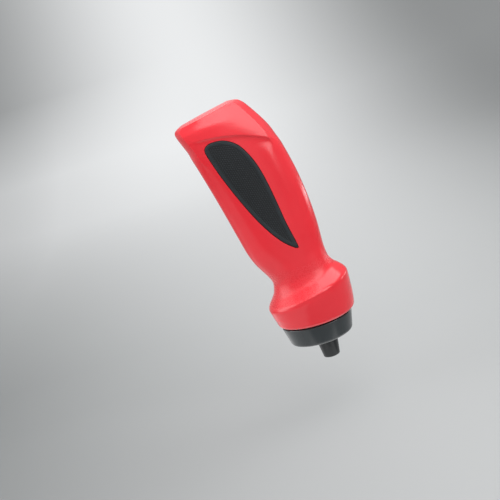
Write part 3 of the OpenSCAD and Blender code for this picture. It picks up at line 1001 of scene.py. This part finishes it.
# Ramps along one axis: from, to, and the level at each.
FAR_RAMP = ("Y", 0.2, BAND_LENGTH, 0, 0.15)
TOP_RAMP = ("Z", 0.5, 1.6, 0, 0.60)
FRONT_RAMP = ("Y", -0.8, -2.2, 0, 0.45)
SIDE_RAMP = (0.75, 2.0, 0, 0.42)
# A pool of light behind the object on the left: these ramps multiply.
POOL_RAMPS = (("Y", 0.35, 1.4, 0, 0.25), ("X", -0.05, -0.4, 0, 1), ("Z", 0.04, 0.20, 1, 0))

# Name, where it is and how its long side lies along the camera's right, up and back,
# distance from the camera's target, size and power.
LIGHTS = [
    ("key", (0.20, 0.60, 0.78), (0.88, -0.46, 0), 1.3, (2.3, 0.65), 11),
    ("key_edge", (0.17, 0.58, 0.80), (0.88, -0.46, 0), 1.3, (2.3, 0.83), 6),
    ("top", (0.20, 0.96, 0.12), (1, 0, 0), 1.2, (1.5, 0.95), 13),
    ("left", (-1.0, -0.1, 0.15), (0, 1, 0), 1.3, (1.5, 1.3), 17),
    ("right", (1.0, -0.1, -0.6), (0, 1, 0), 1.2, (1.0, 0.9), 13),
]
# Bright cards that lie just above the floor and shine up: height over the floor in mm,
# then each one's middle, size and power.
CARD_LIFT = 5
CARDS = [
    ((-0.26, -0.10), (0.38, 0.52), 0.32),
    ((-0.32, -0.10), (0.38, 0.60), 0.40),
    ((0, -0.02), (0.14, 0.12), 0.05),
]


def camera_axes():
    """The camera's right, up and backward directions: it looks along +Y and a little down."""
    back = Vector((0, -math.cos(ELEVATION), math.sin(ELEVATION)))
    level_up = Vector((0, math.sin(ELEVATION), math.cos(ELEVATION)))
    level_right = Vector((1, 0, 0))
    right = math.cos(TILT) * level_right - math.sin(TILT) * level_up
    up = math.cos(TILT) * level_up + math.sin(TILT) * level_right
    return right, up, back


def make_camera():
    """Sets the camera and returns the point that it looks at."""
    right, up, back = camera_axes()
    target = on_axis([(TARGET_X, 0, TARGET_Z)])[0]
    distance = VIEW_WIDTH * LENS / SENSOR
    camera = bpy.data.cameras.new("camera")
    camera.lens = LENS
    camera.sensor_width = SENSOR
    camera.clip_end = 100
    obj = new_object("camera", camera)
    turn = Matrix((right, up, back)).transposed().to_4x4()
    obj.matrix_world = Matrix.Translation(target + back * distance) @ turn
    bpy.context.scene.camera = obj
    return target


def make_light(name, place, away, side, size, power):
    """A soft rectangular light that shines opposite to away; the camera doesn't see it."""
    light = bpy.data.lights.new(name, "AREA")
    light.shape = "RECTANGLE"
    light.size, light.size_y = size
    light.energy = power
    obj = new_object(name, light)
    across = (side - side.dot(away) * away).normalized()
    turn = Matrix((across, away.cross(across), away)).transposed().to_4x4()
    obj.matrix_world = Matrix.Translation(place) @ turn
    obj.visible_camera = False


def backdrop_mesh():
    """A round floor that curves up into a wall and closes as a dome."""
    floor_z = CAD_LOW.z - FLOOR_DROP
    wall = FLOOR_FLAT + FLOOR_BEND
    rise = np.linspace(0, math.pi / 2, BEND_STEPS)
    profile = [
        (FLOOR_FLAT + FLOOR_BEND * math.sin(a), floor_z + FLOOR_BEND * (1 - math.cos(a)))
        for a in rise
    ]
    profile += [
        (wall * math.cos(a), floor_z + FLOOR_BEND + wall * math.sin(a)) for a in rise[1:-1]
    ]
    points = [
        (r * math.cos(turn), r * math.sin(turn), z)
        for r, z in profile
        for turn in np.linspace(0, 2 * math.pi, BACKDROP_SIDES, endpoint=False)
    ]
    faces = loop_faces(len(profile), BACKDROP_SIDES)
    faces.append(tuple(range(BACKDROP_SIDES)))
    faces.append(tuple(range(len(points) - BACKDROP_SIDES, len(points))))
    mesh = bpy.data.meshes.new("backdrop")
    mesh.from_pydata(points, [], faces)
    return mesh


def backdrop_glow(n):
    """How strongly each place of the backdrop glows."""
    axes = n.add("ShaderNodeSeparateXYZ")
    n.link(n.place, axes.inputs["Vector"])

    def ramp(axis, *limits):
        return n.remap(axes.outputs[axis], *limits)

    across = n.add("ShaderNodeVectorMath", operation="DOT_PRODUCT")
    n.link(n.place, across.inputs[0])
    across.inputs[1].default_value = BAND_LINE
    offset = n.math("ABSOLUTE", n.math("SUBTRACT", across.outputs["Value"], BAND_PLACE))
    band = n.remap(offset, 0, BAND_HALF, 1, 0, "SMOOTHSTEP")
    band = n.math("MULTIPLY", band, ramp("Y", 0, BAND_LENGTH, *BAND_LEVEL))
    room = n.remap(n.math("ABSOLUTE", axes.outputs["X"]), *SIDE_RAMP)
    for limits in (FAR_RAMP, TOP_RAMP, FRONT_RAMP):
        room = n.math("MAXIMUM", room, ramp(*limits))
    pool, *fades = [ramp(*limits) for limits in POOL_RAMPS]
    for fade in fades:
        pool = n.math("MULTIPLY", pool, fade)
    return n.math("ADD", band, n.math("ADD", room, pool))


def make_backdrop():
    """A pale studio round the object."""
    mesh = backdrop_mesh()
    backdrop = new_object("backdrop", mesh)
    shade(backdrop)
    n = Nodes("backdrop")
    n.colour(n.mix(n.noise(400, 2), (0.115, 0.12, 0.12), (0.125, 0.13, 0.13)))
    n.link(backdrop_glow(n), n.shader.inputs["Emission Strength"])
    n.set(Roughness=0.9, Emission_Color=(0.98, 0.99, 1, 1))
    mesh.materials.append(n.material)


def make_stage(target):
    """The backdrop and every light, placed about the point that the camera looks at."""
    make_backdrop()
    axes = Matrix(camera_axes()).transposed()
    for name, direction, side, distance, size, power in LIGHTS:
        away = (axes @ Vector(direction)).normalized()
        make_light(name, target + away * distance, away, axes @ Vector(side), size, power)
    for place, size, power in CARDS:
        card = Vector((*place, CAD_LOW.z - FLOOR_DROP + CARD_LIFT * MM))
        make_light("card", card, Vector((0, 0, -1)), Vector((1, 0, 0)), size, power)


# ---------------------------------------------------------------- assembly

paint_cad_nodes()
make_shell("palm_shell_skin", "palm_shell", PALM)
make_shell("finger_shell_skin", "finger_shell", FINGER)
make_pad("palm_pad_skin", "palm_pad", PALM)
make_pad("finger_pad_skin", "finger_pad", FINGER)
make_spring()
make_stage(make_camera())
bpy.context.scene.view_settings.view_transform = "Standard"
